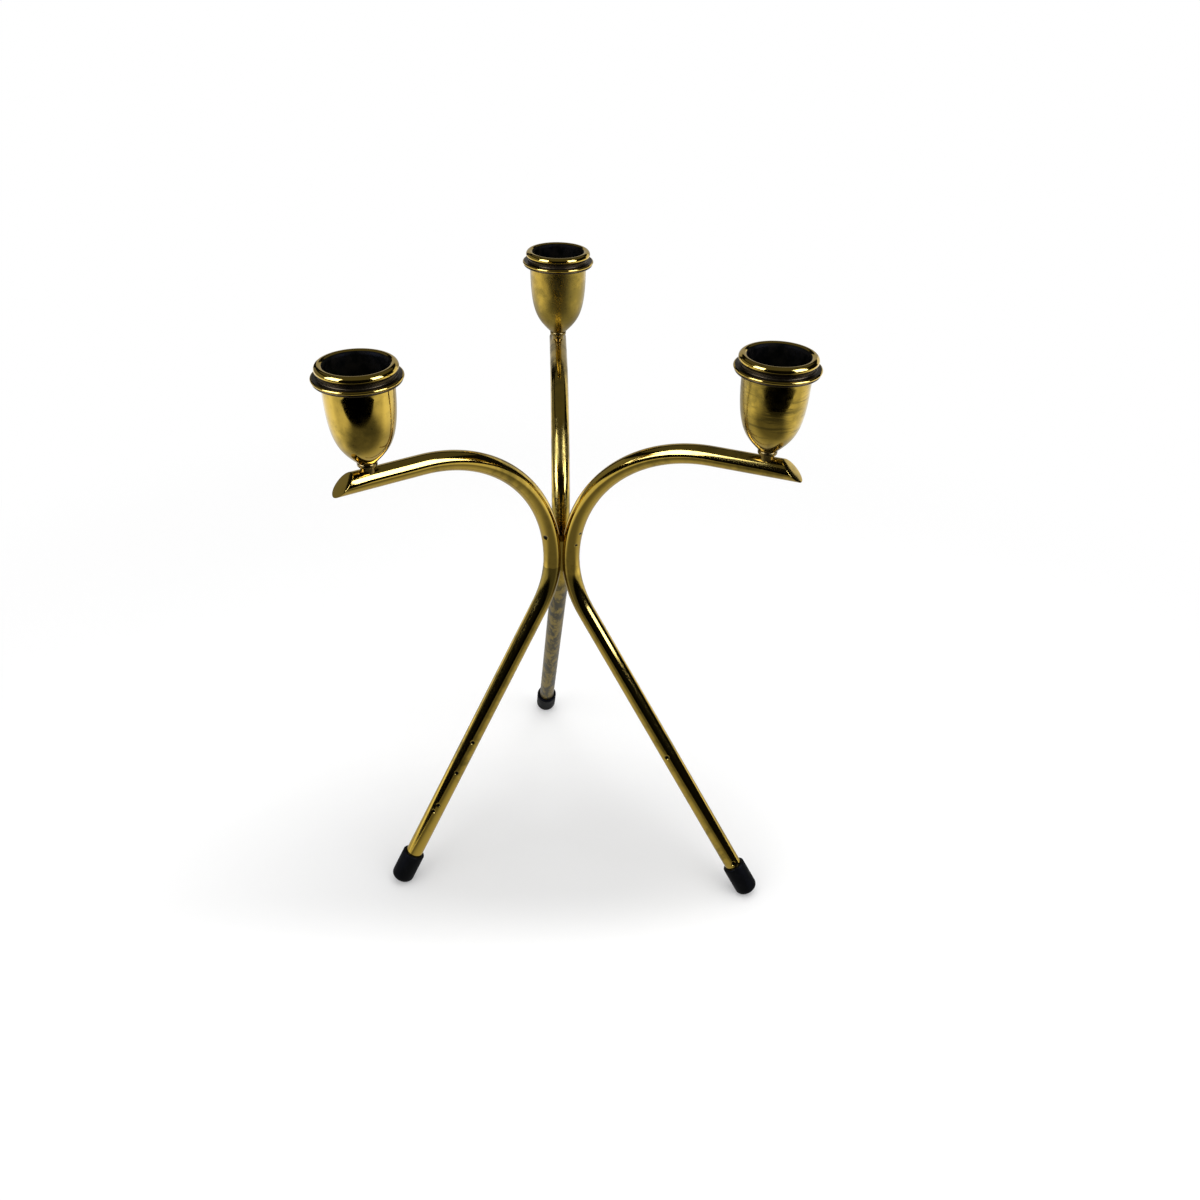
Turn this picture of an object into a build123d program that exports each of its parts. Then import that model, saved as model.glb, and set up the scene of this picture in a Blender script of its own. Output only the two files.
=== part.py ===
from build123d import *
from math import acos, cos, degrees, radians, sin, tan
import os

# Three-arm candelabra for household candles, in millimetres.
# The origin is on the table, on the axis of the waist where the three rods meet. +Z is up.
# Three bent brass rods are brazed side by side at the waist. Each one runs down to a rubber foot,
# and up and out to an arm that carries a turned neck, a tulip cup and a loose candle ring.

# The three rods, in this order
rod_names = ("left", "right", "rear")
rod_azimuths = (210.0, 330.0, 90.0)

# They are bent by hand, so each one has small errors of its own.
# A splay is a leg's angle from the vertical. A swing turns a leg or an arm about the rod's waist.
leg_splays = (30.0, 35.0, 30.0)
leg_swings = (-3.5, -3.0, 3.5)
arm_swings = (3.5, 1.0, -1.5)

# What all three rods share
rod_diameter = 8.0
waist_height = 161.5
waist_gap = 0.1
leg_bend_radius = 46.5
arm_bend_radius = 63.0
arm_rise = 2.2
arm_reach = 97.2
arm_mitre = 45.0

# Braze in the crevices between the rods
braze_reach = 3.8
braze_above = 8.5
braze_below = 6.5

# Rubber feet
foot_wall = 1.35
foot_grip = 0.02
foot_length = 16.0
foot_floor = 3.0
foot_end_radius = 3.2
foot_mouth_radius = 0.5
foot_flat = 0.4

# Turned necks: a ring above a bead, whose lower end is saddled to the round arm
cup_reach = 82.6
neck_ring_diameter = 7.5
neck_ring_height = 1.8
neck_ring_edge = 0.6
neck_bead_diameter = 5.6
neck_bead_height = 1.3
neck_saddle_depth = 2.0

# Loose candle rings: a rolled rim over a drip flange, with a spigot that goes into the cup
candle_bore_diameter = 22.3
rim_inner_radius = 1.8
rim_outer_radius = 1.65
rim_undercut = 0.7
rim_height = 5.6
flange_overhang = 2.25
flange_thickness = 1.1
flange_cove = 0.4
spigot_wall = 0.5
spigot_length = 4.0

# Spun tulip cups with a turned-out lip
spigot_clearance = 0.45
cup_height = 32.0
cup_wall = 0.7
cup_floor = 1.5
cup_base_angle = 46.0
cup_low_handle = 8.4
cup_high_handle = 21.6
lip_width = 2.9
lip_thickness = 0.9
lip_root_radius = 0.9

# The screw and washer that hold a cup and its neck down to the arm
screw_diameter = 3.0
screw_head_diameter = 5.6
screw_head_height = 1.9
screw_head_edge = 0.6
screw_slot_width = 0.8
screw_slot_depth = 0.9
screw_grip_length = 5.0
screw_hole_spare = 0.8
thread_clearance = 0.05
shank_clearance = 0.15
washer_diameter = 7.2
washer_thickness = 0.5

rod_radius = rod_diameter / 2
waist_radius = (rod_radius + waist_gap / 2) / sin(radians(60))
foot_radius = rod_radius + foot_wall
shank_hole_radius = screw_diameter / 2 + shank_clearance
neck_height = neck_ring_height + neck_bead_height

bore_radius = candle_bore_diameter / 2
crest_radius = bore_radius + rim_inner_radius
ring_neck_radius = crest_radius + rim_outer_radius - rim_undercut
flange_radius = ring_neck_radius + flange_overhang
spigot_radius = bore_radius + spigot_wall

cup_base_radius = neck_ring_diameter / 2
cup_mouth_radius = spigot_radius + spigot_clearance + cup_wall
lip_radius = cup_mouth_radius + lip_width

# The arm's bend ends at arm_bend_end in its own standing plane, and the arm runs straight from there
arm_turn = 90 - arm_rise
arm_bend_end_x = arm_bend_radius * (1 - cos(radians(arm_turn)))
arm_bend_end_y = arm_bend_radius * sin(radians(arm_turn))
arm_straight = (arm_reach - arm_bend_end_x) / cos(radians(arm_rise))
arm_height_at_cup = arm_bend_end_y + (cup_reach - arm_bend_end_x) * tan(radians(arm_rise))
arm_top_at_cup = arm_height_at_cup + rod_radius / cos(radians(arm_rise))

os.makedirs("parts", exist_ok=True)


def standing_plane(origin, azimuth):
    """A plane whose x runs outward at the azimuth and whose y points up."""
    outward = Vector(cos(radians(azimuth)), sin(radians(azimuth)), 0)
    return Plane(origin=origin, x_dir=outward, z_dir=outward.cross(Vector(0, 0, 1)))


def level(point, rise=0.0):
    """A horizontal plane at a height above a point."""
    return Plane(origin=point + Vector(0, 0, rise))


def finish(piece, name):
    """Label a piece and write it under its own name."""
    piece.part.label = name
    export_step(piece.part, f"parts/{name}.step")


def foot_mouth_distance(splay):
    """How far down the straight leg the foot's mouth lies, so that its worn flat is at z = 0."""
    lean = radians(splay)
    end_centre = (foot_length - foot_end_radius) * cos(lean)
    corner = (foot_radius - foot_end_radius) * sin(lean)
    mouth_height = end_centre + corner + foot_end_radius - foot_flat
    bend_end_height = waist_height - leg_bend_radius * sin(lean)
    return (bend_end_height - mouth_height) / cos(lean)


def make_rod(name, leg_plane, arm_plane, splay, arm_seat):
    """One bent rod: down from the waist to the leg's end, then up from it to the mitred tip."""
    leg_length = foot_mouth_distance(splay) + foot_length - foot_floor
    with BuildPart() as rod:
        with BuildLine(leg_plane) as leg:
            leg_bend = JernArc((0, 0), (0, -1), leg_bend_radius, splay)
            PolarLine(leg_bend @ 1, leg_length, direction=leg_bend % 1)
        with BuildSketch(level(leg_plane.origin)):
            Circle(rod_radius)
        sweep(path=leg.wire())

        with BuildLine(arm_plane) as arm:
            arm_bend = JernArc((0, 0), (0, 1), arm_bend_radius, -arm_turn)
            PolarLine(arm_bend @ 1, arm_straight + rod_diameter, direction=arm_bend % 1)
        with BuildSketch(level(arm_plane.origin)):
            Circle(rod_radius)
        sweep(path=arm.wire())

        # The tip is sawn off at a slant that leaves the underside longest
        along = arm_bend % 1
        upward = arm_plane.z_dir.cross(along)
        face = along * cos(radians(arm_mitre)) + upward * sin(radians(arm_mitre))
        toe = arm_bend @ 1 + along * arm_straight - upward * rod_radius
        split(bisect_by=Plane(origin=toe, z_dir=face), keep=Keep.BOTTOM)

        with Locations(level(arm_seat)):
            hole_depth = screw_grip_length + screw_hole_spare
            Hole(screw_diameter / 2 + thread_clearance, depth=hole_depth)
    finish(rod, f"{name}_rod")
    return rod.part


def make_foot(name, leg_plane, splay):
    """A rubber cap over the leg's end, worn flat where it stands."""
    with BuildLine(leg_plane):
        leg_bend = JernArc((0, 0), (0, -1), leg_bend_radius, splay)
    axis = leg_bend % 1
    mouth = leg_bend @ 1 + axis * foot_mouth_distance(splay)
    bore = rod_radius + foot_grip
    bore_end = foot_length - foot_floor
    with BuildPart() as foot:
        with BuildSketch(Plane(origin=mouth, x_dir=axis, z_dir=leg_plane.z_dir)):
            with BuildLine():
                Line((0, bore), (0, foot_radius - foot_mouth_radius))
                JernArc((0, foot_radius - foot_mouth_radius), (0, 1), foot_mouth_radius, -90)
                Line((foot_mouth_radius, foot_radius), (foot_length - foot_end_radius, foot_radius))
                end = JernArc((foot_length - foot_end_radius, foot_radius), (1, 0), foot_end_radius, -90)
                Polyline(end @ 1, (foot_length, 0), (bore_end, 0), (bore_end, bore), (0, bore))
            make_face()
        revolve(axis=Axis(mouth, axis))
        split(bisect_by=Plane.XY, keep=Keep.TOP)
    finish(foot, f"{name}_foot")


def make_neck(name, seat_plane, rod):
    """A turned ring and bead. The arm's round top cuts the saddle in the bead."""
    ring_radius = neck_ring_diameter / 2
    bead_radius = neck_bead_diameter / 2
    with BuildPart() as neck:
        with BuildSketch(seat_plane):
            with BuildLine():
                Polyline(
                    (shank_hole_radius, neck_height),
                    (shank_hole_radius, -neck_saddle_depth),
                    (bead_radius, -neck_saddle_depth),
                    (bead_radius, neck_bead_height),
                    (ring_radius - neck_ring_edge, neck_bead_height),
                )
                low = JernArc((ring_radius - neck_ring_edge, neck_bead_height), (1, 0), neck_ring_edge, 90)
                high = JernArc((ring_radius, neck_height - neck_ring_edge), (0, 1), neck_ring_edge, 90)
                Line(low @ 1, high @ 0)
                Line(high @ 1, (shank_hole_radius, neck_height))
            make_face()
        revolve(axis=Axis(seat_plane.origin, (0, 0, 1)))
        add(rod, mode=Mode.SUBTRACT)
    finish(neck, f"{name}_neck")


def tulip_curve(wall, base_height):
    """One side of the tulip, moved in by a wall, from a height above its base to below the lip."""
    climb = base_height / sin(radians(cup_base_angle))
    slope = Vector(cos(radians(cup_base_angle)), sin(radians(cup_base_angle)))
    inset = wall / sin(radians(cup_base_angle))
    base = Vector(cup_base_radius - inset, 0) + slope * climb
    belly = base + slope * (cup_low_handle - climb)
    mouth = cup_mouth_radius - wall
    top = cup_height - lip_thickness - lip_root_radius
    return Bezier(base, belly, (mouth, top - cup_high_handle), (mouth, top))


def make_cup(name, base_plane):
    """A spun tulip shell with a turned-out lip and a holed floor."""
    with BuildPart() as cup:
        with BuildSketch(base_plane):
            with BuildLine():
                outside = tulip_curve(0, 0)
                root = JernArc(outside @ 1, (0, 1), lip_root_radius, -90)
                lip = Line(root @ 1, (lip_radius - lip_thickness / 2, cup_height - lip_thickness))
                edge = JernArc(lip @ 1, (1, 0), lip_thickness / 2, 180)
                inside = tulip_curve(cup_wall, cup_floor)
                Polyline(edge @ 1, (cup_mouth_radius - cup_wall, cup_height), inside @ 1)
                Polyline(inside @ 0, (shank_hole_radius, cup_floor), (shank_hole_radius, 0), outside @ 0)
            make_face()
        revolve(axis=Axis(base_plane.origin, (0, 0, 1)))
    finish(cup, f"{name}_cup")


def make_washer(name, floor_plane):
    """A flat washer on the cup's floor."""
    with BuildPart() as washer:
        with BuildSketch(floor_plane):
            Circle(washer_diameter / 2)
            Circle(shank_hole_radius, mode=Mode.SUBTRACT)
        extrude(amount=washer_thickness)
    finish(washer, f"{name}_washer")


def make_screw(name, head_plane):
    """A slotted screw, down through washer, cup and neck into the arm."""
    shank_length = washer_thickness + cup_floor + neck_height + screw_grip_length
    with BuildPart() as screw:
        with BuildSketch(head_plane):
            Circle(screw_head_diameter / 2)
        extrude(amount=screw_head_height)
        fillet(screw.edges().sort_by(Axis.Z)[-1], screw_head_edge)
        with BuildSketch(head_plane):
            Circle(screw_diameter / 2)
        extrude(amount=-shank_length)
        with BuildSketch(head_plane.offset(screw_head_height)):
            Rectangle(screw_head_diameter, screw_slot_width)
        extrude(amount=-screw_slot_depth, mode=Mode.SUBTRACT)
    finish(screw, f"{name}_screw")


def make_candle_ring(name, lip_plane):
    """The loose ring. Its flange lies on the cup's lip, and its bore takes the candle."""
    under_rim = degrees(acos(1 - rim_undercut / rim_outer_radius))
    with BuildPart() as ring:
        with BuildSketch(lip_plane):
            with BuildLine():
                Line((bore_radius, -spigot_length), (bore_radius, rim_height - rim_inner_radius))
                mouth = JernArc((bore_radius, rim_height - rim_inner_radius), (0, 1), rim_inner_radius, -90)
                rim = JernArc(mouth @ 1, (1, 0), rim_outer_radius, -90 - under_rim)
                neck = Line(rim @ 1, (ring_neck_radius, flange_thickness + flange_cove))
                cove = JernArc(neck @ 1, (0, -1), flange_cove, 90)
                top = Line(cove @ 1, (flange_radius - flange_thickness / 2, flange_thickness))
                edge = JernArc(top @ 1, (1, 0), flange_thickness / 2, -180)
                Polyline(
                    edge @ 1,
                    (spigot_radius, 0),
                    (spigot_radius, -spigot_length),
                    (bore_radius, -spigot_length),
                )
            make_face()
        revolve(axis=Axis(lip_plane.origin, (0, 0, 1)))
    finish(ring, f"{name}_candle_ring")


rods = []
for name, azimuth, splay, leg_swing, arm_swing in zip(
    rod_names, rod_azimuths, leg_splays, leg_swings, arm_swings
):
    waist = Vector(waist_radius * cos(radians(azimuth)), waist_radius * sin(radians(azimuth)), waist_height)
    leg_plane = standing_plane(waist, azimuth + leg_swing)
    arm_plane = standing_plane(waist, azimuth + arm_swing)
    arm_seat = arm_plane.from_local_coords(Vector(cup_reach, arm_top_at_cup, 0))
    cup_base = arm_seat + Vector(0, 0, neck_height)

    rod = make_rod(name, leg_plane, arm_plane, splay, arm_seat)
    rods.append(rod)
    make_foot(name, leg_plane, splay)
    make_neck(name, standing_plane(arm_seat, azimuth), rod)
    make_cup(name, standing_plane(cup_base, azimuth))
    make_washer(name, level(cup_base, cup_floor))
    make_screw(name, level(cup_base, cup_floor + washer_thickness))
    make_candle_ring(name, standing_plane(cup_base + Vector(0, 0, cup_height), azimuth))

# Braze fills what a round core leaves between the three rods
with BuildPart() as braze:
    with BuildSketch(Plane.XY.offset(waist_height - braze_below)):
        Circle(braze_reach)
    extrude(amount=braze_below + braze_above)
    for rod in rods:
        add(rod, mode=Mode.SUBTRACT)
finish(braze, "waist_braze")
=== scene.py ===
# %% [markdown]
# # A brass candelabra for three candles
# Three bent brass rods are brazed side by side at the waist. Each one is a leg below and an arm above,
# with a rubber foot at one end and a turned neck, a tulip cup and a loose candle ring at the other.
# The construction is packed already. This lesson dresses it: polished surfaces need meshes with far
# more and far more even faces than construction needs, so the pieces that shine are made again here.

# %% Load the construction
import math

import bmesh
import bpy
from mathutils import Matrix, Vector
from mathutils.geometry import interpolate_bezier


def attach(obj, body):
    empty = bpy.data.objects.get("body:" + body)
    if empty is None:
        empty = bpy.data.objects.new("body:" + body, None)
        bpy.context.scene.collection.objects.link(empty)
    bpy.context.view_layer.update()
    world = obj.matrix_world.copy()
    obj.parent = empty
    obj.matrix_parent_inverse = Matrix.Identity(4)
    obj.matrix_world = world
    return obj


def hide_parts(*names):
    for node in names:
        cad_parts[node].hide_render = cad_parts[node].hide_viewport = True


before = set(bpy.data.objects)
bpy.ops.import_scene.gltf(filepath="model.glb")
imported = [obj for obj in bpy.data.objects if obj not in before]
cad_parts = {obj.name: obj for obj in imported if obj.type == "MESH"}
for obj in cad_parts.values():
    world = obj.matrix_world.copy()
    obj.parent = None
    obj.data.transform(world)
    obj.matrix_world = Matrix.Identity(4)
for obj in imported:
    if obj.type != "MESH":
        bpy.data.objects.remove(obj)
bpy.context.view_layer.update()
print("nodes in the frame:", len(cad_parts))

# %% [markdown]
# ## Sizes
# The real sizes, in metres. The candelabra stands at the origin, on the axis of its waist. The rods were
# bent by hand, so each leg and arm has a small error of its own, which the eye reads as handwork.

# %% Sizes in metres
MM = 0.001
ROD_RADIUS = 4.0 * MM
WAIST_HEIGHT = 161.5 * MM
WAIST_GAP = 0.1 * MM
HALF_BETWEEN_RODS = math.radians(60.0)
LEG_BEND_RADIUS = 46.5 * MM
ARM_BEND_RADIUS = 63.0 * MM
ARM_RISE = math.radians(2.2)
ARM_REACH = 97.2 * MM
ARM_MITRE = math.radians(45.0)
CUP_REACH = 82.6 * MM
FOOT_LENGTH = 16.0 * MM
FOOT_FLOOR = 3.0 * MM
FOOT_RADIUS = 5.35 * MM
FOOT_END_RADIUS = 3.2 * MM
FOOT_MOUTH_RADIUS = 0.5 * MM
FOOT_FLAT = 0.4 * MM
NECK_HEIGHT = 3.1 * MM
CUP_HEIGHT = 32.0 * MM
UP = Vector((0, 0, 1))

# name: (azimuth, leg's splay, leg's swing, arm's swing), in degrees
RODS = {
    "left": (210.0, 30.0, -3.5, 3.5),
    "right": (330.0, 35.0, -3.0, 1.0),
    "rear": (90.0, 30.0, 3.5, -1.5),
}


def outward(degrees):
    """The level direction at an azimuth."""
    return Vector((math.cos(math.radians(degrees)), math.sin(math.radians(degrees)), 0))


class Rod:
    """Where one bent rod runs, from the waist down to its foot and up to its cup."""

    def __init__(self, name):
        azimuth, splay, leg_swing, arm_swing = RODS[name]
        self.name = name
        waist_radius = (ROD_RADIUS + WAIST_GAP / 2) / math.sin(HALF_BETWEEN_RODS)
        self.waist = outward(azimuth) * waist_radius + UP * WAIST_HEIGHT
        self.leg_out = outward(azimuth + leg_swing)
        self.arm_out = outward(azimuth + arm_swing)
        self.splay = math.radians(splay)
        # the leg: a bend, then straight down and out
        bend = LEG_BEND_RADIUS
        self.leg_axis = self.leg_out * math.sin(self.splay) - UP * math.cos(self.splay)
        self.leg_start = (
            self.waist
            + self.leg_out * bend * (1 - math.cos(self.splay))
            - UP * bend * math.sin(self.splay)
        )
        foot_centre = (FOOT_LENGTH - FOOT_END_RADIUS) * math.cos(self.splay)
        foot_corner = (FOOT_RADIUS - FOOT_END_RADIUS) * math.sin(self.splay)
        mouth_height = foot_centre + foot_corner + FOOT_END_RADIUS - FOOT_FLAT
        self.leg_length = (self.leg_start.z - mouth_height) / math.cos(self.splay)
        self.foot_mouth = self.leg_start + self.leg_axis * self.leg_length
        # the arm: a bend of nearly a right angle, then straight out
        turn = math.pi / 2 - ARM_RISE
        self.arm_turn = turn
        self.arm_axis = self.arm_out * math.cos(ARM_RISE) + UP * math.sin(ARM_RISE)
        bend_reach = ARM_BEND_RADIUS * (1 - math.cos(turn))
        self.arm_start = (
            self.waist + self.arm_out * bend_reach + UP * ARM_BEND_RADIUS * math.sin(turn)
        )
        self.arm_length = (ARM_REACH - bend_reach) / math.cos(ARM_RISE)
        along = (CUP_REACH - bend_reach) / math.cos(ARM_RISE)
        self.seat = self.arm_start + self.arm_axis * along + UP * ROD_RADIUS / math.cos(ARM_RISE)
        self.cup_base = self.seat + UP * NECK_HEIGHT
        self.lip = self.cup_base + UP * CUP_HEIGHT


rods = {name: Rod(name) for name in RODS}
for rod in rods.values():
    print(rod.name, "foot", [round(c, 4) for c in rod.foot_mouth], "lip", [round(c, 4) for c in rod.lip])

# %% [markdown]
# ## The camera
# The camera stands close, less than half a metre from the waist, and looks down at 34 degrees. That is
# why the front cups look so much larger than the rear one. Its place was fitted to the photograph.

# %% Camera
CAMERA_TARGET = Vector((17.76, 0, 137.26)) * MM
CAMERA_DISTANCE = 479.65 * MM
CAMERA_PITCH = math.radians(34.12)
CAMERA_ROLL = math.radians(-1.54)
CAMERA_YAW = math.radians(-5.1)
SENSOR_WIDTH = 36.0
FOCAL_PIXELS = 1048.13
PHOTO_WIDTH = 1200

camera_data = bpy.data.cameras.new("camera")
camera_data.sensor_width = SENSOR_WIDTH
camera_data.lens = FOCAL_PIXELS * SENSOR_WIDTH / PHOTO_WIDTH
camera = bpy.data.objects.new("camera", camera_data)
bpy.context.scene.collection.objects.link(camera)
backwards = Vector((0, -math.cos(CAMERA_PITCH), math.sin(CAMERA_PITCH)))
right = Vector((1, 0, 0))
above = backwards.cross(right)
rolled_right = right * math.cos(CAMERA_ROLL) - above * math.sin(CAMERA_ROLL)
rolled_above = right * math.sin(CAMERA_ROLL) + above * math.cos(CAMERA_ROLL)
place = Matrix.Identity(4)
place.col[0][:3] = rolled_right
place.col[1][:3] = rolled_above
place.col[2][:3] = backwards
place.col[3][:3] = CAMERA_TARGET + backwards * CAMERA_DISTANCE
camera.matrix_world = Matrix.Rotation(CAMERA_YAW, 4, "Z") @ place
bpy.context.scene.camera = camera
print("lens", round(camera_data.lens, 2), "mm")

# %% [markdown]
# ## Making round pieces
# Everything on a candelabra is either bent bar or turned on a lathe. A turned piece is half of its
# section, spun once round its axis. The spin closes on itself with use_merge, points on the axis are
# merged to one, and the normals are worked out anew, because a spin can turn a shape inside out.

# %% Helpers for turned pieces
LATHE_STEPS = 128
SHARP_ANGLE = math.radians(32)
MERGE_GAP = 1e-7


def finish_mesh(name, bm):
    """Make the object of a finished bmesh, smooth but for its real edges."""
    bmesh.ops.remove_doubles(bm, verts=bm.verts, dist=MERGE_GAP)
    bmesh.ops.dissolve_degenerate(bm, dist=MERGE_GAP, edges=bm.edges)
    bmesh.ops.recalc_face_normals(bm, faces=bm.faces)
    for face in bm.faces:
        face.smooth = True
    for edge in bm.edges:
        edge.smooth = len(edge.link_faces) == 2 and edge.calc_face_angle() < SHARP_ANGLE
    mesh = bpy.data.meshes.new(name)
    bm.to_mesh(mesh)
    bm.free()
    piece = bpy.data.objects.new(name, mesh)
    bpy.context.scene.collection.objects.link(piece)
    return piece


def arc(centre, radius, start, end, steps):
    """Points of a round stretch of a section, angles in degrees from the section's first axis."""
    angles = [math.radians(start + (end - start) * i / steps) for i in range(steps + 1)]
    return [(centre[0] + radius * math.cos(a), centre[1] + radius * math.sin(a)) for a in angles]


def turned(section, origin, axis):
    """Spin a closed section of (distance from the axis, distance along it) once round the axis."""
    side = axis.orthogonal().normalized()
    bm = bmesh.new()
    points = [bm.verts.new(origin + side * across + axis * along) for across, along in section]
    edges = [bm.edges.new(pair) for pair in zip(points, points[1:] + points[:1])]
    bmesh.ops.spin(
        bm,
        geom=points + edges,
        cent=origin,
        axis=axis,
        angle=math.tau,
        steps=LATHE_STEPS,
        use_merge=True,
    )
    return bm


# %% [markdown]
# ## The rods
# A bent bar is a circle carried along a path, and bmesh has an operator for each stretch of it: spin
# carries the circle round a bend, and an extrusion carries it along a straight. Both start from the same
# circle at the waist, so leg and arm are one skin. The arm's tip is cut off at a slant with
# bisect_plane, filled, and its sharp edge is broken with a small bevel, as a file would.

# %% Bent rods
ROD_SIDES = 72
LEG_BEND_STEPS = 20
ARM_BEND_STEPS = 56
FILED_EDGE = 0.18 * MM


def extend(bm, edges, offset, steps):
    """Extrude a loop of edges in a straight line."""
    for _ in range(steps):
        grown = bmesh.ops.extrude_edge_only(bm, edges=edges)["geom"]
        ring = [g for g in grown if isinstance(g, bmesh.types.BMVert)]
        edges = [g for g in grown if isinstance(g, bmesh.types.BMEdge)]
        bmesh.ops.translate(bm, verts=ring, vec=offset / steps)
    return edges


def bend(bm, edges, centre, axis, angle, steps):
    """Carry a loop of edges round a bend."""
    ring = list({v for e in edges for v in e.verts})
    last = bmesh.ops.spin(
        bm, geom=ring + edges, cent=centre, axis=axis, angle=angle, steps=steps
    )["geom_last"]
    return [g for g in last if isinstance(g, bmesh.types.BMEdge)]


def make_rod(rod):
    """One bent bar, from the leg's end inside the foot to the arm's slanted tip."""
    bm = bmesh.new()
    waist = Matrix.Translation(rod.waist)
    bmesh.ops.create_circle(bm, radius=ROD_RADIUS, segments=ROD_SIDES, matrix=waist)
    start = list(bm.edges)
    hinge = rod.waist + rod.leg_out * LEG_BEND_RADIUS
    leg = bend(bm, start, hinge, rod.leg_out.cross(UP), rod.splay, LEG_BEND_STEPS)
    leg = extend(bm, leg, rod.leg_axis * (rod.leg_length + FOOT_LENGTH - FOOT_FLOOR), 8)
    hinge = rod.waist + rod.arm_out * ARM_BEND_RADIUS
    arm = bend(bm, start, hinge, rod.arm_out.cross(UP), -rod.arm_turn, ARM_BEND_STEPS)
    extend(bm, arm, rod.arm_axis * (rod.arm_length + 2 * ROD_RADIUS), 4)
    bmesh.ops.edgeloop_fill(bm, edges=leg)
    # saw off the tip, with its lower edge at the arm's full reach
    upward = rod.arm_axis.cross(UP).cross(rod.arm_axis).normalized()
    slant = rod.arm_axis * math.cos(ARM_MITRE) + upward * math.sin(ARM_MITRE)
    toe = rod.arm_start + rod.arm_axis * rod.arm_length - upward * ROD_RADIUS
    cut = bmesh.ops.bisect_plane(
        bm,
        geom=bm.verts[:] + bm.edges[:] + bm.faces[:],
        dist=MERGE_GAP,
        plane_co=toe,
        plane_no=slant,
        clear_outer=True,
    )["geom_cut"]
    rim = [g for g in cut if isinstance(g, bmesh.types.BMEdge)]
    bmesh.ops.edgeloop_fill(bm, edges=rim)
    bmesh.ops.bevel(
        bm,
        geom=rim,
        offset=FILED_EDGE,
        affect="EDGES",
        segments=3,
        profile=0.5,
        material=-1,
    )
    return finish_mesh(f"{rod.name}_bent_rod", bm)


bent_rods = {name: make_rod(rod) for name, rod in rods.items()}
for name, piece in bent_rods.items():
    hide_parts(f"{name}_rod")
    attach(piece, "stand")
    print(piece.name, len(piece.data.polygons), "faces")

# %% [markdown]
# ## The feet
# Each foot is a moulded rubber ferrule: a cup with a thick floor, a rounded end and a slightly softened
# mouth. It is spun about the leg, then cut level where it stands, because rubber wears flat.

# %% Rubber feet
FOOT_BORE = ROD_RADIUS + 0.02 * MM


def make_foot(rod):
    """One ferrule, spun from its inner floor round the mouth to its worn end."""
    end = FOOT_LENGTH - FOOT_END_RADIUS
    section = [(0, FOOT_LENGTH - FOOT_FLOOR), (FOOT_BORE, FOOT_LENGTH - FOOT_FLOOR), (FOOT_BORE, 0)]
    lip = FOOT_RADIUS - FOOT_MOUTH_RADIUS
    section += arc((lip, FOOT_MOUTH_RADIUS), FOOT_MOUTH_RADIUS, -90, 0, 6)
    section += [(FOOT_RADIUS, end * i / 6) for i in range(1, 6)]
    section += arc((FOOT_RADIUS - FOOT_END_RADIUS, end), FOOT_END_RADIUS, 0, 90, 14)
    section += [(0, FOOT_LENGTH)]
    bm = turned(section, rod.foot_mouth, rod.leg_axis)
    bmesh.ops.remove_doubles(bm, verts=bm.verts, dist=MERGE_GAP)
    cut = bmesh.ops.bisect_plane(
        bm,
        geom=bm.verts[:] + bm.edges[:] + bm.faces[:],
        dist=MERGE_GAP,
        plane_co=Vector((0, 0, 0)),
        plane_no=-UP,
        clear_outer=True,
    )["geom_cut"]
    bmesh.ops.edgeloop_fill(bm, edges=[g for g in cut if isinstance(g, bmesh.types.BMEdge)])
    return finish_mesh(f"{rod.name}_rubber_foot", bm)


rubber_feet = {name: make_foot(rod) for name, rod in rods.items()}
for name, piece in rubber_feet.items():
    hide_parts(f"{name}_foot")
    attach(piece, "stand")
    print(piece.name, "lowest point", round(min(v.co.z for v in piece.data.vertices), 6))

# %% [markdown]
# ## The necks
# The neck is the smallest turned piece, a ring over a bead. Its lower end is filed hollow to sit on the
# round arm. A Boolean could cut that hollow, but it would leave uneven faces. So the neck is spun with a
# flat end, and each point of that end is then moved along the neck's axis to the arm's surface.

# %% Turned necks
NECK_RING_RADIUS = 3.75 * MM
NECK_RING_HEIGHT = 1.8 * MM
NECK_RING_EDGE = 0.6 * MM
NECK_BEAD_RADIUS = 2.8 * MM
NECK_COVE_RADIUS = 0.35 * MM


def height_on_arm(point, rod):
    """The height on the arm's upper side above or below a point."""
    offset = point - rod.arm_start
    across = rod.arm_axis.cross(UP).normalized()
    aside = offset.dot(across)
    level = offset - UP * offset.z
    reach = level.dot(rod.arm_out) / math.cos(ARM_RISE) * math.sin(ARM_RISE)
    drop = math.sqrt(ROD_RADIUS**2 - aside**2) / math.cos(ARM_RISE)
    return rod.arm_start.z + reach + drop


def make_neck(rod):
    """One neck, with its bead on the arm and its ring under the cup."""
    bead_height = NECK_HEIGHT - NECK_RING_HEIGHT
    edge = NECK_RING_RADIUS - NECK_RING_EDGE
    cove = NECK_COVE_RADIUS
    section = [(0, -ROD_RADIUS), (NECK_BEAD_RADIUS, -ROD_RADIUS)]
    section += [(NECK_BEAD_RADIUS, bead_height - cove)]
    section += arc((NECK_BEAD_RADIUS + cove, bead_height - cove), cove, 180, 90, 4)
    section += arc((edge, bead_height + NECK_RING_EDGE), NECK_RING_EDGE, -90, 0, 6)
    section += arc((edge, NECK_HEIGHT - NECK_RING_EDGE), NECK_RING_EDGE, 0, 90, 6)
    section += [(0, NECK_HEIGHT)]
    bm = turned(section, rod.seat, UP)
    for vert in bm.verts:
        if vert.co.z < rod.seat.z - ROD_RADIUS / 2:
            vert.co.z = height_on_arm(vert.co, rod)
    return finish_mesh(f"{rod.name}_turned_neck", bm)


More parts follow.
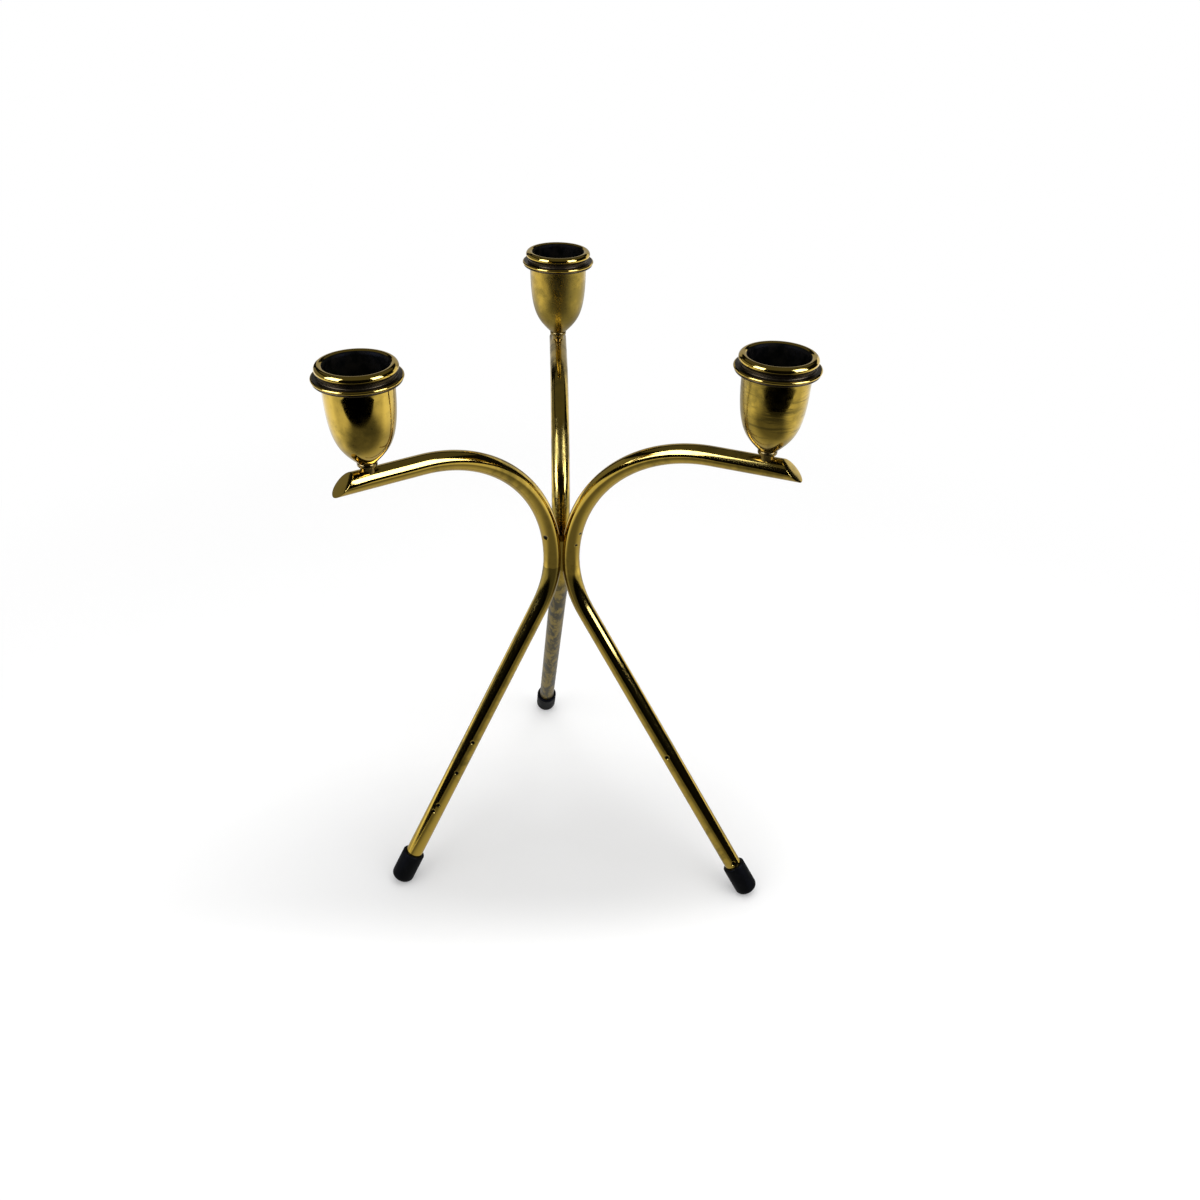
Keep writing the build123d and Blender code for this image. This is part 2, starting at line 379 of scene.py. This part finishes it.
turned_necks = {name: make_neck(rod) for name, rod in rods.items()}
for name, piece in turned_necks.items():
    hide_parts(f"{name}_neck")
    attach(piece, "stand")
print("necks", len(turned_necks))

# %% [markdown]
# ## The cups
# Each cup was spun from sheet over a former. Its side is one Bezier curve, which leaves the base at 46
# degrees and arrives upright at the mouth. The inside is the same curve moved in by the sheet's thickness.
# Solidify could give the wall too, but both curves in one section also give the thick floor and the lip.

# %% Tulip cups
CUP_BASE_RADIUS = 3.75 * MM
CUP_MOUTH_RADIUS = 12.8 * MM
CUP_WALL = 0.7 * MM
CUP_FLOOR = 1.5 * MM
CUP_BASE_ANGLE = math.radians(46.0)
CUP_LOW_HANDLE = 8.4 * MM
CUP_HIGH_HANDLE = 21.6 * MM
LIP_RADIUS = 15.7 * MM
LIP_THICKNESS = 0.9 * MM
LIP_ROOT_RADIUS = 0.9 * MM
SCREW_HOLE_RADIUS = 1.65 * MM
CURVE_POINTS = 40


def tulip_curve(wall, base_height):
    """One side of the tulip, from its base to below the lip."""
    climb = base_height / math.sin(CUP_BASE_ANGLE)
    slope = Vector((math.cos(CUP_BASE_ANGLE), math.sin(CUP_BASE_ANGLE)))
    base = Vector((CUP_BASE_RADIUS - wall / math.sin(CUP_BASE_ANGLE), 0)) + slope * climb
    belly = base + slope * (CUP_LOW_HANDLE - climb)
    top = CUP_HEIGHT - LIP_THICKNESS - LIP_ROOT_RADIUS
    shoulder = Vector((CUP_MOUTH_RADIUS - wall, top - CUP_HIGH_HANDLE))
    mouth = Vector((CUP_MOUTH_RADIUS - wall, top))
    return [tuple(p) for p in interpolate_bezier(base, belly, shoulder, mouth, CURVE_POINTS)]


def make_cup(rod):
    """One tulip shell, with its lip turned out and a screw hole in its floor."""
    top = CUP_HEIGHT
    root = (CUP_MOUTH_RADIUS + LIP_ROOT_RADIUS, top - LIP_THICKNESS - LIP_ROOT_RADIUS)
    lip_edge = (LIP_RADIUS - LIP_THICKNESS / 2, top - LIP_THICKNESS / 2)
    section = [(SCREW_HOLE_RADIUS, 0)] + tulip_curve(0, 0)
    section += arc(root, LIP_ROOT_RADIUS, 180, 90, 6)[1:]
    section += arc(lip_edge, LIP_THICKNESS / 2, -90, 90, 8)
    section += [(CUP_MOUTH_RADIUS - CUP_WALL, top)]
    section += tulip_curve(CUP_WALL, CUP_FLOOR)[::-1]
    section += [(SCREW_HOLE_RADIUS, CUP_FLOOR)]
    bm = turned(section, rod.cup_base, UP)
    return finish_mesh(f"{rod.name}_tulip_cup", bm)


tulip_cups = {name: make_cup(rod) for name, rod in rods.items()}
for name, piece in tulip_cups.items():
    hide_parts(f"{name}_cup")
    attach(piece, "stand")
    print(piece.name, len(piece.data.polygons), "faces")

# %% [markdown]
# ## The candle rings
# The ring lies loose on the cup's lip. From the top it has a rolled rim, a short neck, a thin drip
# flange and a spigot that keeps it from sliding off. The rim could be a torus set on a disc, but one
# closed section makes them a single skin. It rides on a body of its own, so it can be lifted.

# %% Candle rings
BORE_RADIUS = 11.15 * MM
RIM_INNER_RADIUS = 1.8 * MM
RIM_OUTER_RADIUS = 1.65 * MM
RIM_UNDERCUT = 0.7 * MM
RIM_HEIGHT = 5.6 * MM
FLANGE_RADIUS = 16.15 * MM
FLANGE_THICKNESS = 1.1 * MM
FLANGE_COVE = 0.4 * MM
SPIGOT_WALL = 0.5 * MM
SPIGOT_LENGTH = 4.0 * MM


def make_candle_ring(rod):
    """One loose ring, whose flange lies on the cup's lip."""
    crest = BORE_RADIUS + RIM_INNER_RADIUS
    neck = crest + RIM_OUTER_RADIUS - RIM_UNDERCUT
    under_rim = math.degrees(math.acos(1 - RIM_UNDERCUT / RIM_OUTER_RADIUS))
    inner = RIM_HEIGHT - RIM_INNER_RADIUS
    spigot = BORE_RADIUS + SPIGOT_WALL
    half = FLANGE_THICKNESS / 2
    section = [(BORE_RADIUS, -SPIGOT_LENGTH + SPIGOT_LENGTH * i / 4) for i in range(5)]
    section += arc((crest, inner), RIM_INNER_RADIUS, 180, 90, 12)
    section += arc((crest, RIM_HEIGHT - RIM_OUTER_RADIUS), RIM_OUTER_RADIUS, 90, -under_rim, 20)[1:]
    section += arc((neck + FLANGE_COVE, FLANGE_THICKNESS + FLANGE_COVE), FLANGE_COVE, 180, 270, 5)
    section += arc((FLANGE_RADIUS - half, half), half, 90, -90, 10)
    section += [(spigot, 0), (spigot, -SPIGOT_LENGTH)]
    bm = turned(section, rod.lip, UP)
    return finish_mesh(f"{rod.name}_loose_ring", bm)


loose_rings = {name: make_candle_ring(rod) for name, rod in rods.items()}
for name, piece in loose_rings.items():
    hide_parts(f"{name}_candle_ring")
    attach(piece, f"{name}_ring")
    print(piece.name, "top at", round(max(v.co.z for v in piece.data.vertices), 5))

# %% [markdown]
# ## Brass
# Polished brass is a mirror with a colour. It looks alive only because it isn't perfect: thin clouds of
# olive and brown tarnish lie on it, cloths have left hair scratches, and hand-bent bar is never quite
# straight, so reflections waver. Each of these is one noise pattern on Object coordinates, in metres.
# A painted image could do it too, but it would need every piece unwrapped, and noise has no seams.


# %% A small kit for node materials
class Nodes:
    """Adds nodes to one material and links them, so that a recipe below reads from top to bottom."""

    def __init__(self, name):
        self.material = bpy.data.materials.new(name)
        self.material.use_nodes = True
        self.tree = self.material.node_tree
        self.tree.nodes.clear()
        self.coordinates = self.add("TexCoord").outputs["Object"]

    def add(self, kind, inputs=None, **settings):
        node = self.tree.nodes.new("ShaderNode" + kind)
        for setting, value in settings.items():
            setattr(node, setting, value)
        for key, value in (inputs or {}).items():
            if isinstance(value, bpy.types.NodeSocket):
                self.tree.links.new(value, node.inputs[key])
            else:
                node.inputs[key].default_value = value
        return node

    def math(self, operation, first, second=0.0):
        return self.add("Math", {0: first, 1: second}, operation=operation).outputs[0]

    def stretched(self, scale):
        return self.add("Mapping", {"Vector": self.coordinates, "Scale": scale}).outputs[0]

    def noise(self, scale, detail=4.0, roughness=0.55, vector=None):
        inputs = {"Vector": vector or self.coordinates, "Scale": scale, "Detail": detail}
        return self.add("TexNoise", {**inputs, "Roughness": roughness}).outputs["Fac"]

    def ramp(self, value, low, high, start=0.0, end=1.0, smooth=True):
        kind = "SMOOTHSTEP" if smooth else "LINEAR"
        inputs = {"Value": value, "From Min": low, "From Max": high, "To Min": start, "To Max": end}
        return self.add("MapRange", inputs, interpolation_type=kind).outputs["Result"]

    def mix(self, amount, first, second):
        mixer = self.add("Mix", {0: amount, 6: first, 7: second}, data_type="RGBA")
        return mixer.outputs[2]

    def bump(self, height, distance, strength=1.0, normal=None):
        inputs = {"Height": height, "Distance": distance, "Strength": strength}
        if normal:
            inputs["Normal"] = normal
        return self.add("Bump", inputs).outputs["Normal"]

    def height(self):
        return self.add("SeparateXYZ", {0: self.coordinates}).outputs["Z"]

    def near(self, point, radius):
        """1 at a point, and 0 from a radius away."""
        gap = self.add("VectorMath", {0: self.coordinates, 1: point}, operation="DISTANCE")
        return self.ramp(gap.outputs["Value"], radius / 2, radius, 1.0, 0.0)

    def output(self, shader):
        self.add("OutputMaterial", {"Surface": shader})
        return self.material


# %% Brass recipes
BRIGHT = (0.56, 0.385, 0.065, 1)
OLIVE = (0.25, 0.18, 0.032, 1)
BROWN = (0.06, 0.038, 0.012, 1)
VERDIGRIS = (0.032, 0.032, 0.017, 1)
SOOT = (0.004, 0.004, 0.003, 1)
# painted shade: a dark brass for the groove under the rim and for the cup's lip under the flange
PAINTED_SHADE_COLOUR = (0.05, 0.036, 0.014, 1)
EDGE_WANDER = 3.0 * MM
SCRATCH_SCALE = (5200.0, 5200.0, 420.0)
SCRATCH_DEPTH = 0.0002 * MM
SCRATCH_ROUGHNESS = 0.05
PIT_DEPTH = 0.3 * MM


def brass(
    name,
    cloudiness=0.5,
    shine=0.06,
    dull=0.13,
    waver=0.02 * MM,
    streaks=None,
    streak_strength=0.85,
    grain=0.0,
    patches=(),
    blotches=None,
    pits=(),
    base=BRIGHT,
):
    """Tarnished brass. patches are (low height, high height, upper edge, lower edge, strength).

    shine and dull are the roughness where it is clean and where it is tarnished, and waver, grain and
    the widths of edges are in metres.
    """
    n = Nodes(name)
    clouds = n.noise(38.0, 5.0, 0.6)
    mottle = n.noise(260.0, 4.0, 0.6)
    blend = n.math("ADD", n.math("MULTIPLY", clouds, 0.7), n.math("MULTIPLY", mottle, 0.3))
    tarnish = n.ramp(blend, 0.60 - 0.24 * cloudiness, 0.82 - 0.24 * cloudiness)
    if streaks:
        lines = n.noise(1.0, 6.0, 0.65, n.stretched(streaks))
        tarnish = n.math("MAXIMUM", tarnish, n.ramp(lines, 0.48, 0.62, 0.0, streak_strength))
    for low, high, upper_edge, lower_edge, strength in patches:
        wander = n.math("MULTIPLY", n.math("SUBTRACT", n.noise(150.0, 3.0), 0.5), EDGE_WANDER)
        z = n.math("ADD", n.height(), wander)
        below = n.ramp(z, high, high + upper_edge, 1.0, 0.0)
        over = n.ramp(z, low - lower_edge, low, 0.0, 1.0)
        patch = n.math("MULTIPLY", n.math("MULTIPLY", below, over), strength)
        tarnish = n.math("MAXIMUM", tarnish, patch)
        if blotches:
            marks = n.ramp(n.noise(1.0, 5.0, 0.7, n.stretched(blotches)), 0.40, 0.58)
            blotch = n.math("MULTIPLY", marks, patch)
    colour = n.mix(tarnish, base, tuple(min(b, o) for b, o in zip(base, OLIVE)))
    spots = n.ramp(n.noise(900.0, 2.0, 0.5), 0.66, 0.74, 0.0, 0.5)
    colour = n.mix(n.math("MULTIPLY", spots, tarnish), colour, BROWN)
    if blotches:
        colour = n.mix(blotch, colour, VERDIGRIS)
    pit = None
    for point, radius in pits:
        here = n.near(point, radius)
        pit = here if pit is None else n.math("MAXIMUM", pit, here)
    if pit is not None:
        colour = n.mix(pit, colour, SOOT)
    scratches = n.noise(1.0, 3.0, 0.7, n.stretched(SCRATCH_SCALE))
    polish = n.ramp(scratches, 0.35, 0.75, shine, shine + SCRATCH_ROUGHNESS, smooth=False)
    rough = n.math("ADD", polish, n.math("MULTIPLY", tarnish, dull - shine))
    normal = n.bump(n.noise(55.0, 2.0, 0.4), waver)
    normal = n.bump(scratches, SCRATCH_DEPTH, 1.0, normal)
    if grain:
        normal = n.bump(n.noise(2400.0, 3.0, 0.7), grain, 1.0, normal)
    if pit is not None:
        normal = n.bump(n.math("MULTIPLY", pit, -1.0), PIT_DEPTH, 1.0, normal)
    shader = n.add(
        "BsdfPrincipled",
        {"Base Color": colour, "Metallic": 1.0, "Roughness": rough, "Normal": normal},
    )
    return n.output(shader.outputs[0])


def soot_and_shade(name):
    """The dark film that candles leave inside a cup, made darker still as painted shade of the deep well.
    """
    n = Nodes(name)
    film = n.ramp(n.noise(300.0, 4.0), 0.35, 0.7)
    colour = n.mix(film, (0.0015, 0.0018, 0.0015, 1), (0.006, 0.005, 0.003, 1))
    rough = n.ramp(film, 0.0, 1.0, 0.4, 0.7)
    shader = n.add(
        "BsdfPrincipled", {"Base Color": colour, "Roughness": rough, "Specular IOR Level": 0.02}
    )
    return n.output(shader.outputs[0])


# %% [markdown]
# ## Where the rods are marked
# The left rod has a clear tide mark below the waist, the right one a softer one, and the rear leg is
# dull all the way down. Each is a patch between two heights. A few pits are where the lacquer has gone.
# Noise would scatter them anywhere, so each one is a point on the rod, from which a small ball of dark
# is measured: by height on a straight leg, or by azimuth round the rod just above the waist.

# %% Pits and tarnish on the rods
FACING = Vector((0.04, -0.83, 0.56))


def on_leg(rod, height, aside):
    """A point on the front of a straight leg at a height, moved across it by a share of its radius."""
    along = (rod.leg_start.z - height) / -rod.leg_axis.z
    front = (FACING - rod.leg_axis * FACING.dot(rod.leg_axis)).normalized()
    across = rod.leg_axis.cross(front)
    turn = math.asin(aside)
    return rod.leg_start + rod.leg_axis * along + (
        front * math.cos(turn) + across * math.sin(turn)
    ) * ROD_RADIUS


def at_waist(rod, height, degrees):
    """A point on a rod just above the waist, at an azimuth round the rod."""
    rise = height - WAIST_HEIGHT
    bent_out = ARM_BEND_RADIUS - math.sqrt(ARM_BEND_RADIUS**2 - rise**2)
    return rod.waist + rod.arm_out * bent_out + outward(degrees) * ROD_RADIUS + UP * rise


# on a leg: (height in millimetres, share of the radius to one side)
LEFT_PITS = ((73.8, -0.25), (58.5, -0.18), (41.7, 0.0), (38.2, 0.21))
RIGHT_PITS = ((69.5, 0.5), (16.5, 0.0))
left_pits = [(on_leg(rods["left"], z * MM, side), 1.2 * MM) for z, side in LEFT_PITS]
left_pits.append((at_waist(rods["left"], 173.9 * MM, 240), 1.4 * MM))
right_pits = [(on_leg(rods["right"], z * MM, side), 1.3 * MM) for z, side in RIGHT_PITS]
right_pits.append((at_waist(rods["right"], 175.3 * MM, 309), 0.9 * MM))
right_pits.append((at_waist(rods["right"], 169.5 * MM, 295), 0.8 * MM))

rod_finish = {
    "left": brass(
        "left_rod_brass",
        cloudiness=0.55,
        patches=((0.146, 0.1575, 0.0004, 0.014, 1.0),),
        pits=left_pits,
    ),
    "right": brass(
        "right_rod_brass",
        cloudiness=0.6,
        patches=((0.142, 0.1525, 0.003, 0.016, 0.75),),
        pits=right_pits,
    ),
    "rear": brass(
        "rear_rod_brass",
        cloudiness=0.8,
        dull=0.34,
        patches=((-0.01, 0.136, 0.012, 0.01, 0.9),),
        blotches=(300.0, 300.0, 35.0),
    ),
}
for name, piece in bent_rods.items():
    piece.data.materials.append(rod_finish[name])
print("pits", len(left_pits) + len(right_pits))

# %% [markdown]
# ## How the cups, rings and necks have aged, and where shade is painted on them
# The left cup is the cleanest, the right one is streaked round by wiping, and the rear one is dull. Candles
# left a sooty film inside, which is also painted shade for the dark well. The groove between rim and
# flange and the cup's lip under the flange are painted shade in dark brass. These are whole materials on
# chosen faces, because their edges are the real edges of the turning.

# %% Finishes of the cups, rings and necks
cup_finish = {
    "left": brass("left_cup_brass", cloudiness=0.6, shine=0.05, dull=0.16, waver=0.03 * MM),
    "right": brass(
        "right_cup_brass",
        cloudiness=0.8,
        shine=0.07,
        dull=0.22,
        waver=0.04 * MM,
        streaks=(60.0, 60.0, 560.0),
        streak_strength=1.0,
        base=(0.50, 0.345, 0.055, 1),
    ),
    "rear": brass(
        "rear_cup_brass",
        cloudiness=1.05,
        shine=0.14,
        dull=0.3,
        waver=0.04 * MM,
        grain=0.0012 * MM,
        base=(0.46, 0.31, 0.05, 1),
    ),
}
ring_finish = brass("ring_brass", cloudiness=0.3, shine=0.05)
neck_finish = brass(
    "neck_brass", cloudiness=0.9, shine=0.10, dull=0.3, base=(0.18, 0.125, 0.035, 1)
)
# a near-black film for candle soot, darkened further as painted shade inside the cups and rings
soot_and_painted_shade = soot_and_shade("candle_soot_and_painted_shade")
# dark brass as painted shade, for the ring's groove and the cup's lip under the flange
painted_shade_brass = brass("painted_groove_shade", cloudiness=1.0, shine=0.22, dull=0.4, waver=0.01 * MM, base=PAINTED_SHADE_COLOUR)

# %% Dark faces inside, in the grooves and on the lips
# face slots: 1 is soot with painted shade inside, 2 is painted shade in the groove and on the lip
SOOT_AND_SHADE = 1
PAINTED_SHADE = 2


def darken_groove(ring, lip):
    """Give the faces in the groove between rim and flange the dark brass of painted shade."""
    for face in ring.data.polygons:
        offset = face.center - lip
        radius = offset.xy.length
        low = offset.z > FLANGE_THICKNESS * 0.9
        high = offset.z < RIM_HEIGHT - RIM_OUTER_RADIUS * 1.15
        outside = radius > BORE_RADIUS + RIM_INNER_RADIUS
        if low and high and outside and radius < FLANGE_RADIUS - FLANGE_THICKNESS * 0.6:
            face.material_index = PAINTED_SHADE


def darken_lip(cup, base):
    """Give the cup's lip, which hides under the ring's flange, the dark brass of painted shade."""
    for face in cup.data.polygons:
        offset = face.center - base
        high = offset.z > CUP_HEIGHT - LIP_THICKNESS - LIP_ROOT_RADIUS
        if high and offset.xy.length > CUP_MOUTH_RADIUS + LIP_ROOT_RADIUS * 0.3:
            face.material_index = PAINTED_SHADE


def darken_inside(piece, centre, top):
    """Give the faces that look at a piece's own axis, below a height, the sooty film, which is partly
    painted shade.
    """
    for face in piece.data.polygons:
        offset = face.center - centre
        offset.z = 0
        looks_in = offset.dot(face.normal) < -0.3 * offset.length
        floor = face.normal.z > 0.9 and offset.length < CUP_BASE_RADIUS * 2
        if (looks_in or floor) and face.center.z < top:
            face.material_index = SOOT_AND_SHADE


for name, rod in rods.items():
    cup, ring = tulip_cups[name], loose_rings[name]
    cup.data.materials.append(cup_finish[name])
    ring.data.materials.append(ring_finish)
    for piece in (cup, ring):
        piece.data.materials.append(soot_and_painted_shade)
        piece.data.materials.append(painted_shade_brass)
    darken_inside(cup, rod.cup_base, rod.lip.z)
    darken_lip(cup, rod.cup_base)
    darken_inside(ring, rod.lip, rod.lip.z + RIM_HEIGHT - RIM_INNER_RADIUS * 0.2)
    darken_groove(ring, rod.lip)
    turned_necks[name].data.materials.append(neck_finish)
print("cup finishes", len(cup_finish))

# %% [markdown]
# ## Rubber, screws and braze
# The rubber is matt black with a fine moulded grain and a little dust. The screws, washers and braze are
# hidden or tiny, so they aren't made again: they keep the construction's shapes and take a material.


# %% Rubber and the small brass pieces
def rubber():
    """Black rubber, with almost no gloss."""
    n = Nodes("black_rubber")
    dust = n.ramp(n.noise(420.0, 5.0, 0.65), 0.5, 0.8)
    colour = n.mix(dust, (0.0018, 0.002, 0.002, 1), (0.006, 0.0065, 0.0065, 1))
    rough = n.ramp(n.noise(160.0, 3.0), 0.3, 0.7, 0.42, 0.6)
    normal = n.bump(n.noise(3500.0, 2.0, 0.6), 0.02 * MM, 0.6)
    shader = n.add(
        "BsdfPrincipled",
        {"Base Color": colour, "Roughness": rough, "Specular IOR Level": 0.06, "Normal": normal},
    )
    return n.output(shader.outputs[0])


def dress_node(node, material):
    """Put a material on a piece of the construction that stays in sight."""
    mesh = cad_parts[node].data
    mesh.materials.clear()
    mesh.materials.append(material)


foot_rubber = rubber()
braze_metal = brass("braze_metal", cloudiness=0.2, shine=0.12)
screw_metal = brass("screw_metal", cloudiness=0.8, shine=0.15, waver=0.01 * MM)
for name in rods:
    rubber_feet[name].data.materials.append(foot_rubber)
    for part in ("screw", "washer"):
        dress_node(f"{name}_{part}", screw_metal)
dress_node("waist_braze", braze_metal)
print("materials", len(bpy.data.materials))

# %% [markdown]
# ## The table
# The candelabra stands on a white table. Near the object the table keeps its shadow, and its own colour
# is greyer there too, because soft light leaves a pool that three lamps alone make too pale. Further out
# it turns to plain white for the camera. For the metal it has a glow of its own: dim in front, bright at
# the sides, and nothing past the front edge. Real light in a room falls off like that.

# %% Table
TABLE_HALF = 1.6
TABLE_FADE = (0.24, 0.55)
TABLE_WHITE = (0.80, 0.80, 0.80, 1)
TABLE_GLOW = 0.24
SHADE_GREY = (0.56, 0.56, 0.56, 1)
SHADE_MIDDLE = (0.01, -0.045)
SHADE_REACH = {"right": 0.14, "left": 0.28, "back": 0.125, "front": 0.05}
# as the metal mirrors it, by Y from front to back, and by distance from the middle to either side
MIRROR_EDGE = (-0.416, -0.41)
MIRROR_NEAR_TO_FAR = (-0.20, -0.02, 0.17, 0.58)
MIRROR_SIDEWAYS = (0.2, 0.42, 0.0, 0.7)


def table_material():
    """A white table, with the grey pool that soft light leaves under an object."""
    n = Nodes("white_table")
    axes = n.add("SeparateXYZ", {0: n.coordinates}).outputs
    x = n.math("SUBTRACT", axes["X"], SHADE_MIDDLE[0])
    y = n.math("SUBTRACT", axes["Y"], SHADE_MIDDLE[1])
    aside = n.math(
        "MAXIMUM", n.math("DIVIDE", x, SHADE_REACH["right"]), n.math("DIVIDE", x, -SHADE_REACH["left"])
    )
    away = n.math(
        "MAXIMUM", n.math("DIVIDE", y, SHADE_REACH["back"]), n.math("DIVIDE", y, -SHADE_REACH["front"])
    )
    squares = n.math("ADD", n.math("MULTIPLY", aside, aside), n.math("MULTIPLY", away, away))
    from_middle = n.math("SQRT", squares)
    colour = n.mix(n.ramp(from_middle, 0.1, 1.0), SHADE_GREY, TABLE_WHITE)
    diffuse = n.add("BsdfDiffuse", {"Color": colour})
    path = n.add("LightPath").outputs
    seen = path["Is Camera Ray"]
    glow = n.add("Emission", {"Color": (1, 1, 1, 1), "Strength": n.math("MULTIPLY", seen, TABLE_GLOW)})
    near = n.add("AddShader", {0: diffuse.outputs[0], 1: glow.outputs[0]})
    distance = n.add("VectorMath", {0: n.coordinates}, operation="LENGTH").outputs["Value"]
    fade = n.math("MULTIPLY", n.ramp(distance, *TABLE_FADE), seen)
    white = n.add("Emission", {"Color": (1, 1, 1, 1), "Strength": 1.0})
    wide = n.add("MixShader", {0: fade, 1: near.outputs[0], 2: white.outputs[0]})
    # in the metal: dim in front, bright to the sides, and past the front edge the dark room
    nearer = n.ramp(axes["Y"], *MIRROR_NEAR_TO_FAR)
    sideways = n.ramp(n.math("ABSOLUTE", axes["X"]), *MIRROR_SIDEWAYS)
    on_table = n.ramp(axes["Y"], *MIRROR_EDGE)
    strength = n.math("MULTIPLY", n.math("ADD", nearer, sideways), on_table)
    mirrored = n.add("Emission", {"Color": (1, 1, 1, 1), "Strength": strength})
    mixed = n.add("MixShader", {0: path["Is Glossy Ray"], 1: wide.outputs[0], 2: mirrored.outputs[0]})
    return n.output(mixed.outputs[0])


table_mesh = bmesh.new()
bmesh.ops.create_grid(table_mesh, x_segments=8, y_segments=8, size=TABLE_HALF)
table = finish_mesh("table", table_mesh)
table.data.materials.append(table_material())
print("table", 2 * TABLE_HALF, "m wide")

# %% [markdown]
# ## What the metal sees
# Bright metal shows the room and not itself, so the room is built for it. Two tall windows, left and
# right of the camera, draw the pale strips along the rods, and between them the dark room draws the black
# shapes in the cups. Dim walls and a ceiling colour the rest. A picture of a room could do this, but
# glowing cards are plain to place and to change. Only reflections see them.


# %% Cards that only the metal sees
def card(name, centre, size, faces, brightness, tint=(1, 1, 1)):
    """A flat card of a width and height, turned to face a direction."""
    bm = bmesh.new()
    bmesh.ops.create_grid(bm, x_segments=1, y_segments=1, size=0.5)
    bmesh.ops.scale(bm, verts=bm.verts, vec=(size[0], size[1], 1))
    turn = Vector(faces).to_track_quat("Z", "Y").to_matrix().to_4x4()
    bmesh.ops.transform(bm, verts=bm.verts, matrix=Matrix.Translation(centre) @ turn)
    piece = finish_mesh(name, bm)
    n = Nodes(name)
    glow = n.add("Emission", {"Color": (*tint, 1), "Strength": brightness})
    piece.data.materials.append(n.output(glow.outputs[0]))
    piece.visible_camera = False
    piece.visible_diffuse = False
    piece.visible_shadow = False
    return piece


WINDOW_DISTANCE = 0.58
WINDOW_BOTTOM = 0.30
WINDOW_TOP = 0.86
WINDOW_GLOW = 8.0
WINDOW_BLUE = (0.9, 1.0, 1.8)


def window(name, degrees, width):
    """A tall bright card, at an angle to the right of straight in front."""
    turn = math.radians(degrees)
    toward = Vector((math.sin(turn), -math.cos(turn), 0))
    centre = toward * WINDOW_DISTANCE + UP * (WINDOW_BOTTOM + WINDOW_TOP) / 2
    size = (width, WINDOW_TOP - WINDOW_BOTTOM)
    return card(name, centre, size, tuple(-toward), WINDOW_GLOW, WINDOW_BLUE)


cards = [
    window("left_window", -62, 0.38),
    window("right_window", 56, 0.34),
    card("back_wall", (0.1, 0.95, 0.36), (1.1, 0.7), (0, -1, 0), 0.45),
    card("bright_wall", (1.2, 0.95, 0.36), (1.1, 0.7), (0, -1, 0), 1.0),
    card("left_wall", (-0.9, 0.5, 0.37), (1.2, 0.66), (1, 0, 0), 0.22),
    card("ceiling_wall", (0, 0, 1.3), (2.6, 2.6), (0, 0, -1), 0.10),
]
print("cards", len(cards))

# %% [markdown]
# ## Lamps and the room
# Three large softboxes give the rubber and the table their soft light. They hide from the metal, which
# would show them as hard rectangles. The world is white where the camera looks past the table, nearly
# black for the metal, and a soft grey light for everything matt.

# %% Lamps
LAMP_AIM = Vector((0, 0, 0.15))


def softbox(name, place_at, size, power):
    """A large soft lamp that is aimed at the waist and that the metal doesn't mirror."""
    lamp = bpy.data.lights.new(name, "AREA")
    lamp.shape = "RECTANGLE"
    lamp.size, lamp.size_y = size
    lamp.energy = power
    holder = bpy.data.objects.new(name, lamp)
    direction = LAMP_AIM - Vector(place_at)
    turn = direction.to_track_quat("-Z", "Y").to_matrix().to_4x4()
    holder.matrix_world = Matrix.Translation(place_at) @ turn
    holder.visible_glossy = False
    bpy.context.scene.collection.objects.link(holder)


softbox("left_softbox", (-0.75, -0.55, 0.95), (0.9, 0.7), 3.2)
softbox("right_softbox", (0.70, -0.60, 0.95), (0.9, 0.7), 3.2)
softbox("overhead_softbox", (0.1, 0.0, 1.2), (1.2, 1.0), 6.6)
print("lamps", len(bpy.data.lights))

# %% Room
ROOM_FOR_METAL = 0.006
ROOM_FOR_DIFFUSE = 0.45


def make_room():
    """White behind everything the camera sees, a dim room in the metal, and soft light on the rest."""
    world = bpy.data.worlds.new("room")
    bpy.context.scene.world = world
    world.use_nodes = True
    tree = world.node_tree
    tree.nodes.clear()
    path = tree.nodes.new("ShaderNodeLightPath")
    dim = tree.nodes.new("ShaderNodeMix")
    dim.inputs[2].default_value = ROOM_FOR_DIFFUSE
    dim.inputs[3].default_value = ROOM_FOR_METAL
    tree.links.new(path.outputs["Is Glossy Ray"], dim.inputs[0])
    seen = tree.nodes.new("ShaderNodeMix")
    seen.inputs[3].default_value = 1.0
    tree.links.new(path.outputs["Is Camera Ray"], seen.inputs[0])
    tree.links.new(dim.outputs[0], seen.inputs[2])
    background = tree.nodes.new("ShaderNodeBackground")
    background.inputs["Color"].default_value = (1, 1, 1, 1)
    tree.links.new(seen.outputs[0], background.inputs["Strength"])
    output = tree.nodes.new("ShaderNodeOutputWorld")
    tree.links.new(background.outputs[0], output.inputs["Surface"])


make_room()
bpy.context.scene.view_settings.view_transform = "Standard"
print("room", bpy.context.scene.world.name)
